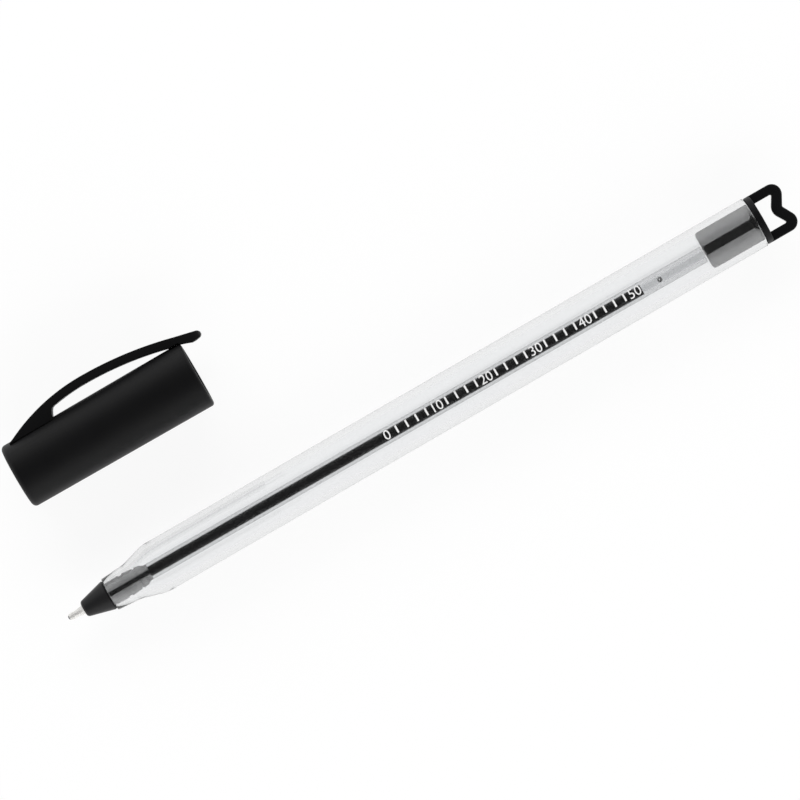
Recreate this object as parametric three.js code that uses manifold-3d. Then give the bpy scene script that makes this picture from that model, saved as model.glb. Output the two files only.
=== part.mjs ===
// A clear stick ballpoint pen with a hanging loop at its back end, lying on its side, with its cap
// taken off and laid beside it. The pen lies along X with its point towards -X, and +Z is up.
// All sizes are in millimetres. Places along the pen are counted from the tip of its ball, and
// places along the cap from the outside of its closed end.
import * as THREE from "three";
import { mergeVertices } from "three/addons/utils/BufferGeometryUtils.js";
import Module from "manifold-3d";

const wasm = await Module();
wasm.setup();

// How round a turned piece is
const WIDE_SEGMENTS = 64;
const FINE_SEGMENTS = 32;

// Clearances between the pieces
const SEAT_CLEARANCE = 0.03; // each side, where one piece is pressed into another
const SLIDE_CLEARANCE = 0.05; // each side, where one piece slides in another
const END_CLEARANCE = 0.05; // between two faces that meet end on

// Barrel
const BARREL_LENGTH = 131;
const BARREL_DIAMETER = 9.5;
const BARREL_WALL = 1.15;
const BARREL_REAR_CHAMFER = 0.2;
const NOZZLE_LENGTH = 4.6;
const NOZZLE_WALL = 0.85; // at its front
const NOZZLE_TAPER = 0.3; // how much it widens to the shoulder, each side
const NOZZLE_BORE_LENGTH = 5.1;
const SHOULDER_LENGTH = 4.5;
const VENT_DIAMETER = 0.7; // outside
const VENT_INNER_DIAMETER = 0.3;
const VENT_OVERCUT = 0.1; // of the wall, how far the drill is drawn on past each face
const VENT_FROM_REAR = 19.8;
const VENT_TURN = THREE.MathUtils.degToRad(4); // from straight up, away from the cap

// Ball and metal point
const BALL_DIAMETER = 1;
const RIM_GRIP = 0.02; // how much narrower than the ball the rim is, each side
const RIM_THICKNESS = 0.09;
const NIB_WALL = 0.11;
const NIB_LENGTH = 1.9;
const POINT_OUT = 3.1; // from the tip of the ball to the front of the nose cone
const SHANK_DIAMETER = 2.3;
const SHANK_LENGTH = 3.6;
const SHANK_INSET = 1.2; // from the front of the nose cone to the shank's full width
const POINT_CHANNEL = 0.4;

// Nose cone
const CONE_LENGTH = 5.2;
const CONE_FRONT_WALL = 0.65;
const CONE_STEP = 0.2; // how much narrower the cone is than the nozzle, each side
const CONE_EDGE_RADIUS = 0.6;

// Tip holder, from its spigot in the cone to its nipple in the ink tube
const SPIGOT_WALL = 0.37;
const SPIGOT_STEP = 0.65; // how much narrower the spigot is than the collar, each side
const SPIGOT_LENGTH = 2.9;
const COLLAR_LENGTH = 3.1;
const GROOVE_WIDTH = 0.6;
const GROOVE_DEPTH = 0.2;
const BARB_LENGTHS = [2.1, 1.2];
const BARB_STEP = 0.15; // how much narrower each barb is than the one in front, each side
const BARB_DROP = 0.2; // how much a barb narrows along its length, each side
const BARB_GAP = 0.35;
const STOP_LENGTH = 0.6;
const NIPPLE_LENGTH = 2;
const NIPPLE_BORE = 0.9;
const NIPPLE_BORE_DEPTH = 2.2; // from the nipple's back end
const HOLDER_CHANNEL = 0.55;

// Ink tube and ink
const TUBE_DIAMETER = 3;
const TUBE_BORE = 1.25;
const TUBE_END_GAP = 0.3; // from the tube's back end to the end plug
const EMPTY_LENGTH = 12.5; // how far the ink has gone down in the tube
const MENISCUS_DEPTH = 0.35;
const INK_CLEARANCE = 0.03;

// End plug: a cross that presses into the barrel, a flange and a hanging loop
const INSERT_LENGTH = 10.5;
const FIN_THICKNESS = 1.5;
const INSERT_CHAMFER = 0.6;
const ROOT_FLARE = 0.9;
const FLANGE_INSET = 0.17; // how far the flange's edge lies inside the barrel's
const FLANGE_THICKNESS = 1.2;
const FLANGE_EDGE_RADIUS = 0.2;
const LOOP_LENGTH = 5.4;
const LOOP_BAR = 1.74; // at the sides
const LOOP_BACK_BAR = 1.95;
const LOOP_THICKNESS = 2.2;
const LOBE_RADIUS = 1.8;
const LOBE_LEAN = THREE.MathUtils.degToRad(28.5); // of the sides of the notch, from square across
const NOTCH_RADIUS = 0.3;
const LOOP_CORNER_RADIUS = 0.2; // least radius inside the loop

// Cap
const CAP_LENGTH = 36.5;
const CAP_CLEARANCE = 0.1; // round the barrel, each side
const CAP_WALL = 1.4; // at the mouth
const CAP_DRAFT = 0.2; // how much the outside narrows to the closed end, each side
const CAP_CROWN_THICKNESS = 1.3;
const CAP_CROWN_RADIUS = 0.95;
const CAP_MOUTH_RADIUS = 0.55;
const CAP_BORE_FILLET = 0.8;
const GRIP_RIBS = 6;
const GRIP_RIB_WIDTH = 0.6;
const GRIP_RIB_FROM_MOUTH = 3;

// Clip, as heights above the outside of the cap's mouth
const CLIP_WIDTH = 5.4;
const CLIP_END_WIDTH = 4.2;
const CLIP_START = 2.5; // where the web leaves the cap
const CLIP_CREST_AT = 18.5;
const CLIP_CREST_HEIGHT = 3.6;
const CLIP_THICKNESS = 1.57;
const CLIP_RIM_THICKNESS = 1.35; // where the clip crosses the mouth
const CLIP_RIM_GAP = 0.07;
const CLIP_RIM_SETBACK = 0.5;
const CLIP_TOUCH_AT = 34.4; // where the underside comes down to the cap
const CLIP_WINDOW_AT = 10.5; // where the gap under the clip starts
const CLIP_WINDOW_LEAN = 0.7;
const CLIP_SPLIT_AT = 12.5; // where the springing arm leaves the web
const CLIP_SPLIT_GAP = 0.05;
const CLIP_OVERHANG = 4.1; // past the mouth
const CLIP_TAIL_THICKNESS = 1.4; // at its rounded end
const CLIP_TAIL_DROP = 0.27; // from the cap's outside down to the middle of the end
const GRIP_DROP = 1.08; // how far the tail's bead reaches below the cap's outside
const GRIP_AT = 2; // past the mouth
const GRIP_LENGTH = 0.7;
const CLIP_END_RADIUS = 1.2; // seen from outside

// How the cap lies beside the pen
const CAP_SPACING = 25.9; // between the two axes
const CAP_SETBACK = 4.65; // from the ball's tip to the closed end

// Places along the pen that follow from the sizes
const coneFront = POINT_OUT;
const coneRear = coneFront + CONE_LENGTH;
const shankFront = coneFront + SHANK_INSET;
const shankRear = shankFront + SHANK_LENGTH;
const spigotFront = coneRear - SPIGOT_LENGTH;
const collarRear = coneRear + COLLAR_LENGTH;
const barbFronts = [collarRear + GROOVE_WIDTH];
for (const length of BARB_LENGTHS) barbFronts.push(barbFronts.at(-1) + length + BARB_GAP);
const stopFront = barbFronts.pop();
const stopRear = stopFront + STOP_LENGTH;
const nippleRear = stopRear + NIPPLE_LENGTH;
const nippleBoreFront = nippleRear - NIPPLE_BORE_DEPTH;
const barrelFront = coneRear + END_CLEARANCE;
const barrelRear = barrelFront + BARREL_LENGTH;
const nozzleRear = barrelFront + NOZZLE_LENGTH;
const nozzleBoreRear = barrelFront + NOZZLE_BORE_LENGTH;
const flangeFront = barrelRear + END_CLEARANCE;
const flangeRear = flangeFront + FLANGE_THICKNESS;
const insertFront = flangeFront - INSERT_LENGTH;
const tubeFront = stopRear + END_CLEARANCE;
const tubeRear = insertFront - TUBE_END_GAP;
const inkRear = tubeRear - EMPTY_LENGTH;

// Radii that follow from the sizes, from the ball and the point outwards
const ballRadius = BALL_DIAMETER / 2;
const socketRadius = ballRadius + SEAT_CLEARANCE;
const shankRadius = SHANK_DIAMETER / 2;
const shankHole = shankRadius + SEAT_CLEARANCE;
const nibRadius = socketRadius + NIB_WALL;
const coneShare = (coneFront - NIB_LENGTH) / (shankFront - NIB_LENGTH);
const frontHole = nibRadius + (shankRadius - nibRadius) * coneShare + SEAT_CLEARANCE;
const spigotRadius = shankHole + SPIGOT_WALL;
const collarRadius = spigotRadius + SPIGOT_STEP;
const nozzleBoreRadius = collarRadius + SLIDE_CLEARANCE;
const nozzleRadius = nozzleBoreRadius + NOZZLE_WALL;
const tubeRadius = TUBE_DIAMETER / 2;
const tubeBoreRadius = TUBE_BORE / 2;
const barrelRadius = BARREL_DIAMETER / 2;
const boreRadius = barrelRadius - BARREL_WALL;
const flangeRadius = barrelRadius - FLANGE_INSET;
const capBoreRadius = barrelRadius + CAP_CLEARANCE;
const capMouthRadius = capBoreRadius + CAP_WALL;
const capCrownRadius = capMouthRadius - CAP_DRAFT;

const MATERIALS = {
  clear: { color: 0xe9edef, roughness: 0.08, metalness: 0, transparent: true, opacity: 0.35 },
  black: { color: 0x1b1b1c, roughness: 0.45, metalness: 0 },
  smoke: { color: 0x5c5e60, roughness: 0.25, metalness: 0, transparent: true, opacity: 0.8 },
  tube: { color: 0xc9cccd, roughness: 0.3, metalness: 0, transparent: true, opacity: 0.5 },
  ink: { color: 0x08080a, roughness: 0.2, metalness: 0 },
  nickel: { color: 0xc8c6c0, roughness: 0.25, metalness: 1 },
  carbide: { color: 0xa9abad, roughness: 0.1, metalness: 1 },
};

function piece(name, geometry, finish) {
  const mesh = new THREE.Mesh(geometry, new THREE.MeshStandardMaterial(MATERIALS[finish]));
  mesh.name = name;
  return mesh;
}

// Turns a closed profile of [place along X, radius] pairs about X. A flat of the many-sided ring
// faces straight down, so that a turned piece can stand on it.
function turned(profile, segments = FINE_SEGMENTS) {
  const points = profile.map(([x, r]) => new THREE.Vector2(r, x));
  const onAxis = profile[0][1] === 0 && profile.at(-1)[1] === 0;
  if (!onAxis) points.push(points[0].clone());
  const lathe = new THREE.LatheGeometry(points, segments, Math.PI / segments, 2 * Math.PI);
  return lathe.rotateZ(-Math.PI / 2);
}

function solid(geometry) {
  const bare = new THREE.BufferGeometry();
  bare.setAttribute("position", geometry.getAttribute("position"));
  bare.setIndex(geometry.getIndex());
  const merged = mergeVertices(bare, 1e-4);
  return new wasm.Manifold(
    new wasm.Mesh({
      numProp: 3,
      vertProperties: merged.getAttribute("position").array,
      triVerts: new Uint32Array(merged.getIndex().array),
    }),
  );
}

function geometryOf(manifold) {
  const mesh = manifold.getMesh();
  const geometry = new THREE.BufferGeometry();
  geometry.setAttribute("position", new THREE.BufferAttribute(mesh.vertProperties, mesh.numProp));
  geometry.setIndex(new THREE.BufferAttribute(mesh.triVerts, 1));
  return geometry;
}

// Points on a circle about [x, y], with angles in degrees.
function arc([x, y], radius, from, to, steps = 6) {
  return Array.from({ length: steps + 1 }, (_, i) => {
    const angle = THREE.MathUtils.degToRad(from + ((to - from) * i) / steps);
    return [x + radius * Math.cos(angle), y + radius * Math.sin(angle)];
  });
}

function shapeOf(outline) {
  return new THREE.Shape(outline.map(([x, y]) => new THREE.Vector2(x, y)));
}

// A plate with that outline in X and Y, and its middle at Z 0.
function plate(shape, thickness) {
  const geometry = new THREE.ExtrudeGeometry(shape, { depth: thickness, bevelEnabled: false });
  return geometry.translate(0, 0, -thickness / 2);
}

// The air hole narrows evenly through the wall, and its drill is drawn on past both faces.
function barrel() {
  const c = BARREL_REAR_CHAMFER;
  const tube = turned([
    [barrelFront, nozzleRadius],
    [nozzleRear, nozzleRadius + NOZZLE_TAPER],
    [nozzleRear + SHOULDER_LENGTH, barrelRadius],
    [barrelRear - c, barrelRadius],
    [barrelRear, barrelRadius - c],
    [barrelRear, boreRadius + c],
    [barrelRear - c, boreRadius],
    [nozzleBoreRear + SHOULDER_LENGTH, boreRadius],
    [nozzleBoreRear, nozzleBoreRadius],
    [barrelFront, nozzleBoreRadius],
  ], WIDE_SEGMENTS);
  const widening = (VENT_DIAMETER - VENT_INNER_DIAMETER) / 2;
  const outer = VENT_DIAMETER / 2 + VENT_OVERCUT * widening;
  const inner = VENT_INNER_DIAMETER / 2 - VENT_OVERCUT * widening;
  const drillLength = (1 + 2 * VENT_OVERCUT) * BARREL_WALL;
  const drill = new THREE.CylinderGeometry(outer, inner, drillLength, 16);
  drill.rotateX(Math.PI / 2);
  drill.translate(barrelRear - VENT_FROM_REAR, 0, barrelRadius - BARREL_WALL / 2);
  drill.rotateX(VENT_TURN);
  return geometryOf(solid(tube).subtract(solid(drill)));
}

// The ball sits in a round socket, whose rim closes in past the ball's middle.
function pointHousing() {
  const channel = POINT_CHANNEL / 2;
  const rimAngle = THREE.MathUtils.radToDeg(Math.asin((ballRadius - RIM_GRIP) / socketRadius));
  const seatAngle = THREE.MathUtils.radToDeg(Math.asin(channel / socketRadius));
  const seat = arc([ballRadius, 0], socketRadius, seatAngle, 180 - rimAngle, 8);
  const rim = seat.at(-1);
  return turned([
    [rim[0], rim[1] + RIM_THICKNESS],
    [BALL_DIAMETER, nibRadius],
    [NIB_LENGTH, nibRadius],
    [shankFront, shankRadius],
    [shankRear, shankRadius],
    [shankRear, channel],
    ...seat,
  ]);
}

function noseCone() {
  const edge = Math.min(CONE_EDGE_RADIUS, CONE_FRONT_WALL);
  const front = frontHole + CONE_FRONT_WALL;
  const spigotHole = spigotRadius + SEAT_CLEARANCE;
  const holeStep = spigotFront - END_CLEARANCE;
  return turned([
    ...arc([coneFront + edge, front - edge], edge, 180, 105, 4),
    [coneRear, nozzleRadius - CONE_STEP],
    [coneRear, spigotHole],
    [holeStep, spigotHole],
    [holeStep, shankHole],
    [shankFront, shankHole],
    [coneFront, frontHole],
  ]);
}

// Front to back: a spigot in the cone, a collar and two barbs in the nozzle, a stop for the ink
// tube, and a nipple inside it.
function tipHolder() {
  const groove = collarRadius - GROOVE_DEPTH;
  const nipple = tubeBoreRadius - SEAT_CLEARANCE;
  const channel = HOLDER_CHANNEL / 2;
  const shoulder = coneRear + END_CLEARANCE;
  const floor = shankRear + END_CLEARANCE;
  const barbs = BARB_LENGTHS.flatMap((length, i) => [
    [barbFronts[i], groove],
    [barbFronts[i], collarRadius - i * BARB_STEP],
    [barbFronts[i] + length, collarRadius - i * BARB_STEP - BARB_DROP],
    [barbFronts[i] + length, groove - i * BARB_STEP - BARB_DROP],
  ]);
  return turned([
    [spigotFront, spigotRadius],
    [shoulder, spigotRadius],
    [shoulder, collarRadius],
    [collarRear, collarRadius],
    [collarRear, groove],
    ...barbs,
    [stopFront, tubeRadius],
    [stopRear, tubeRadius],
    [stopRear, nipple],
    [nippleRear, nipple],
    [nippleRear, NIPPLE_BORE / 2],
    [nippleBoreFront, NIPPLE_BORE / 2],
    [nippleBoreFront, channel],
    [floor, channel],
    [floor, shankHole],
    [spigotFront, shankHole],
  ]);
}

function inkTube() {
  return turned([
    [tubeFront, tubeRadius],
    [tubeRear, tubeRadius],
    [tubeRear, tubeBoreRadius],
    [tubeFront, tubeBoreRadius],
  ]);
}

// One thread of ink, from behind the ball, through the point and the holder, to the column in the
// tube, which ends in a hollow meniscus.
function inkColumn() {
  const inPoint = POINT_CHANNEL / 2 - INK_CLEARANCE;
  const inHolder = HOLDER_CHANNEL / 2 - INK_CLEARANCE;
  const inNipple = NIPPLE_BORE / 2 - INK_CLEARANCE;
  const inTube = tubeBoreRadius - INK_CLEARANCE;
  const front = ballRadius + socketRadius + INK_CLEARANCE;
  const holderStep = shankRear + 2 * END_CLEARANCE;
  const nippleStep = nippleBoreFront + END_CLEARANCE;
  const tubeStep = nippleRear + END_CLEARANCE;
  const dish = (MENISCUS_DEPTH ** 2 + inTube ** 2) / (2 * MENISCUS_DEPTH);
  const dishAngle = THREE.MathUtils.radToDeg(Math.asin(inTube / dish));
  return turned([
    [front, 0],
    [front, inPoint],
    [holderStep, inPoint],
    [holderStep, inHolder],
    [nippleStep, inHolder],
    [nippleStep, inNipple],
    [tubeStep, inNipple],
    [tubeStep, inTube],
    ...arc([inkRear - MENISCUS_DEPTH + dish, 0], dish, 180 - dishAngle, 180, 3),
  ], FINE_SEGMENTS / 2);
}

function ball() {
  return new THREE.SphereGeometry(ballRadius, 24, 16).translate(ballRadius, 0, 0);
}

// The back edge of the hanging loop: two lobes with a notch between them, joined by straight
// sides. An inset gives the same edge further in, which is the back of the hole.
function loopOutline(inset) {
  const outer = [LOOP_LENGTH - LOBE_RADIUS, flangeRadius - LOBE_RADIUS];
  const reach = LOBE_RADIUS + NOTCH_RADIUS;
  const side = (outer[1] - reach * Math.sin(LOBE_LEAN)) / Math.cos(LOBE_LEAN);
  const notch = outer[0] + reach * Math.cos(LOBE_LEAN) - side * Math.sin(LOBE_LEAN);
  const r = Math.max(LOBE_RADIUS - inset, LOOP_CORNER_RADIUS);
  const lobe = [LOOP_LENGTH - inset - r, flangeRadius - inset - r];
  const across = [notch - lobe[0], lobe[1]];
  const turn = Math.acos((r + NOTCH_RADIUS + inset) / Math.hypot(...across));
  const lean = THREE.MathUtils.radToDeg(Math.atan2(across[1], across[0]) - turn);
  return [
    ...arc([lobe[0], -lobe[1]], r, -90, lean, 8),
    ...arc([notch, 0], NOTCH_RADIUS + inset, 180 + lean, 180 - lean, 6),
    ...arc(lobe, r, -lean, 90, 8),
  ];
}

function hangingLoop() {
  const k = LOOP_CORNER_RADIUS;
  const foot = -FLANGE_THICKNESS / 2;
  const side = flangeRadius - LOOP_BAR;
  const band = shapeOf([
    [foot, k - flangeRadius],
    [foot + k, -flangeRadius],
    ...loopOutline(0),
    [foot + k, flangeRadius],
    [foot, flangeRadius - k],
  ]);
  const hole = shapeOf([
    ...arc([k, k - side], k, 180, 270, 3),
    ...loopOutline(LOOP_BAR).map(([x, y]) => [x + LOOP_BAR - LOOP_BACK_BAR, y]),
    ...arc([k, side - k], k, 90, 180, 3),
  ]);
  band.holes.push(hole);
  return solid(plate(band, LOOP_THICKNESS).translate(flangeRear, 0, 0));
}

// One moulding: a cross of two fins that presses into the barrel, a flange and the hanging loop.
function endPlug() {
  const insertRadius = boreRadius - SLIDE_CLEARANCE;
  const insertRear = flangeFront + FLANGE_THICKNESS / 2;
  const insertLength = insertRear - insertFront;
  const fin = new THREE.BoxGeometry(insertLength, BARREL_DIAMETER, FIN_THICKNESS);
  fin.translate(insertFront + insertLength / 2, 0, 0);
  const cross = solid(fin).add(solid(fin.clone().rotateX(Math.PI / 2)));
  const envelope = turned([
    [insertFront, 0],
    [insertFront, insertRadius - INSERT_CHAMFER],
    [insertFront + INSERT_CHAMFER, insertRadius],
    [insertRear, insertRadius],
    [insertRear, 0],
  ]);
  const flare = turned([
    [flangeFront - ROOT_FLARE, 0],
    [flangeFront - ROOT_FLARE, FIN_THICKNESS / 2],
    [flangeFront, FIN_THICKNESS / 2 + ROOT_FLARE],
    [insertRear, FIN_THICKNESS / 2 + ROOT_FLARE],
    [insertRear, 0],
  ]);
  const e = FLANGE_EDGE_RADIUS;
  const flange = turned([
    [flangeFront, 0],
    ...arc([flangeFront + e, flangeRadius - e], e, 180, 90, 3),
    ...arc([flangeRear - e, flangeRadius - e], e, 90, 0, 3),
    [flangeRear, 0],
  ], WIDE_SEGMENTS);
  const insert = cross.intersect(solid(envelope)).add(solid(flare));
  return geometryOf(insert.add(solid(flange)).add(hangingLoop()));
}

// The outside of the cap, as a radius at a place along it.
function capRadiusAt(x) {
  return capCrownRadius + (CAP_DRAFT * x) / CAP_LENGTH;
}

// The clip's two long curves: circles that share a level crest, one to each side of it.
function clipCurve(crest, leftEnd, rightEnd) {
  const radiusTo = ([x, y]) => ((x - CLIP_CREST_AT) ** 2 + (crest - y) ** 2) / (2 * (crest - y));
  const left = radiusTo(leftEnd);
  const right = radiusTo(rightEnd);
  return (x) => {
    const radius = x < CLIP_CREST_AT ? left : right;
    return crest - radius + Math.sqrt(radius ** 2 - (x - CLIP_CREST_AT) ** 2);
  };
}

const clipRimAt = CAP_LENGTH - CLIP_RIM_SETBACK;
const clipCrest = capMouthRadius + CLIP_CREST_HEIGHT;
const clipRimUnderside = capMouthRadius + CLIP_RIM_GAP;
const clipTop = clipCurve(
  clipCrest,
  [CLIP_START, capRadiusAt(CLIP_START)],
  [clipRimAt, clipRimUnderside + CLIP_RIM_THICKNESS],
);
const clipTopAtSplit = clipTop(CLIP_SPLIT_AT);
const clipUnderside = clipCurve(
  clipCrest - CLIP_THICKNESS,
  [CLIP_SPLIT_AT, clipTopAtSplit - CLIP_THICKNESS],
  [CLIP_TOUCH_AT, clipRimUnderside],
);

function along(curve, from, to, steps) {
  return Array.from({ length: steps + 1 }, (_, i) => {
    const x = from + ((to - from) * i) / steps;
    return [x, curve(x)];
  });
}

// The clip seen from outside: it narrows to its end, which is rounded at its corners.
function clipPlan() {
  const end = CAP_LENGTH + CLIP_OVERHANG;
  const r = CLIP_END_RADIUS;
  const corner = CLIP_END_WIDTH / 2 - r;
  const outline = [
    [0, -CLIP_WIDTH / 2],
    ...arc([end - r, -corner], r, -90, 0, 6),
    ...arc([end - r, corner], r, 0, 90, 6),
    [0, CLIP_WIDTH / 2],
  ];
  const height = 2 * (capMouthRadius + CLIP_CREST_HEIGHT) + 2;
  return solid(plate(shapeOf(outline), height).rotateX(Math.PI / 2));
}

function clipSolid(outline) {
  return solid(plate(shapeOf(outline), CLIP_WIDTH + 1)).intersect(clipPlan());
}

function capShell() {
  const crown = CAP_CROWN_RADIUS;
  const lip = CAP_MOUTH_RADIUS;
  const fillet = CAP_BORE_FILLET;
  const floor = CAP_CROWN_THICKNESS;
  const shell = turned([
    [0, 0],
    ...arc([crown, capRadiusAt(crown) - crown], crown, 180, 90, 6),
    ...arc([CAP_LENGTH - lip, capMouthRadius - lip], lip, 90, 0, 4),
    [CAP_LENGTH, capBoreRadius + lip / 2],
    [CAP_LENGTH - lip / 2, capBoreRadius],
    ...arc([floor + fillet, capBoreRadius - fillet], fillet, 90, 180, 4),
    [floor, 0],
  ], WIDE_SEGMENTS);

  const webFoot = capRadiusAt(CLIP_START) - CAP_WALL / 2;
  const lean = CLIP_WINDOW_LEAN;
  const splitFace = CLIP_SPLIT_AT - CLIP_SPLIT_GAP;
  const web = clipSolid([
    [CLIP_START - lean, webFoot],
    ...along(clipTop, CLIP_START, splitFace, 8),
    [splitFace, clipUnderside(CLIP_SPLIT_AT)],
    [CLIP_WINDOW_AT + 1.5 * lean, clipUnderside(CLIP_SPLIT_AT) - 0.3 * lean],
    [CLIP_WINDOW_AT + lean, clipUnderside(CLIP_SPLIT_AT) - lean],
    [CLIP_WINDOW_AT, webFoot],
  ].reverse());

  let cap = solid(shell).add(web);
  const ribFrom = floor + fillet;
  const ribTo = CAP_LENGTH - GRIP_RIB_FROM_MOUTH;
  const ribDepth = CAP_CLEARANCE + CAP_WALL / 2;
  for (let i = 0; i < GRIP_RIBS; i++) {
    const rib = new THREE.BoxGeometry(ribTo - ribFrom, ribDepth, GRIP_RIB_WIDTH);
    rib.translate((ribFrom + ribTo) / 2, barrelRadius + ribDepth / 2, 0);
    rib.rotateX(((i + 0.5) * 2 * Math.PI) / GRIP_RIBS);
    cap = cap.add(solid(rib));
  }
  return geometryOf(cap);
}

// The springing arm of the clip, from the web, round the lip of the mouth, to its gripping bead
// and its rounded end.
function clipArm() {
  const end = CAP_LENGTH + CLIP_OVERHANG;
  const round = CLIP_TAIL_THICKNESS / 2;
  const bead = capMouthRadius - GRIP_DROP;
  const lip = CAP_MOUTH_RADIUS;
  return geometryOf(
    clipSolid([
      ...along(clipTop, CLIP_SPLIT_AT, clipRimAt, 20),
      ...arc([end - round, capMouthRadius - CLIP_TAIL_DROP], round, 75, -75, 6),
      [CAP_LENGTH + GRIP_AT + GRIP_LENGTH, bead],
      [CAP_LENGTH + GRIP_AT, bead],
      ...arc([CAP_LENGTH - lip, capMouthRadius - lip], lip + CLIP_RIM_GAP, 20, 90, 4),
      ...along(clipUnderside, CLIP_TOUCH_AT, CLIP_SPLIT_AT, 20),
    ].reverse()),
  );
}

// How high an axis lies when the piece stands on a flat of its ring.
function restingHeight(radius) {
  return radius * Math.cos(Math.PI / WIDE_SEGMENTS);
}

const pen = new THREE.Group();
pen.add(
  piece("barrel", barrel(), "clear"),
  piece("ball", ball(), "carbide"),
  piece("point_housing", pointHousing(), "nickel"),
  piece("nose_cone", noseCone(), "black"),
  piece("tip_holder", tipHolder(), "smoke"),
  piece("ink_tube", inkTube(), "tube"),
  piece("ink_column", inkColumn(), "ink"),
  piece("end_plug", endPlug(), "smoke"),
);
pen.position.z = restingHeight(barrelRadius);

const cap = new THREE.Group();
cap.add(piece("cap_shell", capShell(), "black"), piece("cap_clip", clipArm(), "black"));
cap.position.set(CAP_SETBACK, CAP_SPACING, restingHeight(capMouthRadius));

// The origin lies under the middle of the whole, on the surface that it stands on.
const set = new THREE.Group();
set.add(pen, cap);
const box = new THREE.Box3().setFromObject(set, true);
const middle = box.getCenter(new THREE.Vector3());
set.position.set(-middle.x, -middle.y, 0);

export default set;
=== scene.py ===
# %% [markdown]
# # A clear stick pen and its cap
# A plain solid model of the pen is already packed: it says how big each piece is, where it lies and
# what it moves with. This lesson builds the fine pieces that stand in its place, gives each one its
# plastic, ink or metal, and photographs them on a white table. Loading comes first, because every
# later step reads its places from the plain pieces. Lengths are in metres and +Z is up.

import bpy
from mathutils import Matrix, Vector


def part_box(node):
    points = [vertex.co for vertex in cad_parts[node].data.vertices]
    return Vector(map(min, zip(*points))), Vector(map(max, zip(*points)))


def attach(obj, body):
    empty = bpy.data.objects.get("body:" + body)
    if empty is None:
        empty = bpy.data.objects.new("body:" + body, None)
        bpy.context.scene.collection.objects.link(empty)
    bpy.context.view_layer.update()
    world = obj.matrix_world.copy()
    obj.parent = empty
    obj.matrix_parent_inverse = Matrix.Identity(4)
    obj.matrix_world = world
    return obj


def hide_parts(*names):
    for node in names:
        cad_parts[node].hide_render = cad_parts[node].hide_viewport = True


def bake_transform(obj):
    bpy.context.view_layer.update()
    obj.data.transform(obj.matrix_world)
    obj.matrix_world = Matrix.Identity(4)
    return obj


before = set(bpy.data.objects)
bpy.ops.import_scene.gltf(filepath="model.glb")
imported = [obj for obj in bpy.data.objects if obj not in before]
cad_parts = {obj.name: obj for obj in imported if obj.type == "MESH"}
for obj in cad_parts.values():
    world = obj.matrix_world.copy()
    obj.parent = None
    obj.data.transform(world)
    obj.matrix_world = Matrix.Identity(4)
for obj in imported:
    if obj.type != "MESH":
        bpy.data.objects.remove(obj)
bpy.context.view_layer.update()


def in_mm(lengths):
    """Lengths in metres as millimetres, to be printed."""
    return [round(1000 * length, 2) for length in lengths]


# %% [markdown]
# ## Where the pen and the cap lie
# The pen lies along X with its writing point towards -X, and the cap lies beside it. A pen is drawn
# from its axis, so this step finds both axes. The barrel and the cap are round, so an axis is as high
# as half the height of its piece. Places along the pen are then counted in millimetres from the tip
# of the ball, and places along the cap from its closed end, as on a maker's drawing.

# %% Find the two axes
import math

import bmesh
import bpy
from mathutils import Vector

MM = 0.001


def mm(x, y=0.0, z=0.0):
    """A place or a move that is given in millimetres."""
    return Vector((x * MM, y * MM, z * MM))


barrel_low, barrel_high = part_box("barrel")
cap_low, cap_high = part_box("cap_shell")
pen_start = Vector((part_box("ball")[0].x, (barrel_low.y + barrel_high.y) / 2, barrel_high.z / 2))
cap_start = Vector((cap_low.x, cap_low.y + cap_high.z / 2, cap_high.z / 2))
barrel_radius = barrel_high.z / 2 / MM
cap_radius = cap_high.z / 2 / MM
print("The pen's axis starts at", in_mm(pen_start))
print("The cap's axis starts at", in_mm(cap_start))

# %% [markdown]
# ## The camera
# The photographer stood high above the table with a long lens, so the pen hardly narrows with
# distance. Its two ends are sharp marks in the picture: from them come the turn of 30 degrees, the
# picture's width of 140.6 mm and its middle. A lens of 290 mm at a bit over a metre gives the same
# slight look into the cap.

# %% Set up the camera
PICTURE_WIDTH = 140.57 * MM
PICTURE_TURN = -30
AIM_X = -3.37 * MM
AIM_Y = 4.11 * MM
SENSOR = 36.0
LENS = 290.0

photo_camera = bpy.data.objects.new("photo_camera", bpy.data.cameras.new("photo_camera"))
bpy.context.scene.collection.objects.link(photo_camera)
photo_camera.data.sensor_width = SENSOR
photo_camera.data.lens = LENS
camera_height = PICTURE_WIDTH * LENS / SENSOR
photo_camera.location = (AIM_X, pen_start.y + AIM_Y, pen_start.z + camera_height)
photo_camera.rotation_euler = (0, 0, math.radians(PICTURE_TURN))
bpy.context.scene.camera = photo_camera
print("The camera is", round(camera_height, 3), "m above the pen")

# %% [markdown]
# ## Hands for the workshop
# Blender's operators act on whatever is selected, and the plain pieces are selected after loading.
# So a few helpers come first. They lay everything down, pick points or faces of the piece in hand
# by where they are, and move or extrude what is picked. One tidies a finished skin: points that
# coincide become one, and all faces are turned to look outwards.

# %% Lay down, pick up, pull out and close up
SAME_PLACE = 1e-7
CLOSE_BY = 1e-6


def lay_down():
    """Leaves edit mode, with nothing selected."""
    if bpy.context.mode != "OBJECT":
        bpy.ops.object.mode_set(mode="OBJECT")
    bpy.ops.object.select_all(action="DESELECT")


def pick(test, kind="VERT"):
    """In edit mode, selects only the points, edges or faces that pass the test."""
    bpy.ops.mesh.select_mode(type=kind)
    bpy.ops.mesh.select_all(action="DESELECT")
    mesh = bpy.context.object.data
    shape = bmesh.from_edit_mesh(mesh)
    for element in {"VERT": shape.verts, "EDGE": shape.edges, "FACE": shape.faces}[kind]:
        if test(element):
            element.select_set(True)
    shape.select_flush_mode()
    bmesh.update_edit_mesh(mesh)


def pick_all():
    """In edit mode, selects everything."""
    bpy.ops.mesh.select_all(action="SELECT")


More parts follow.
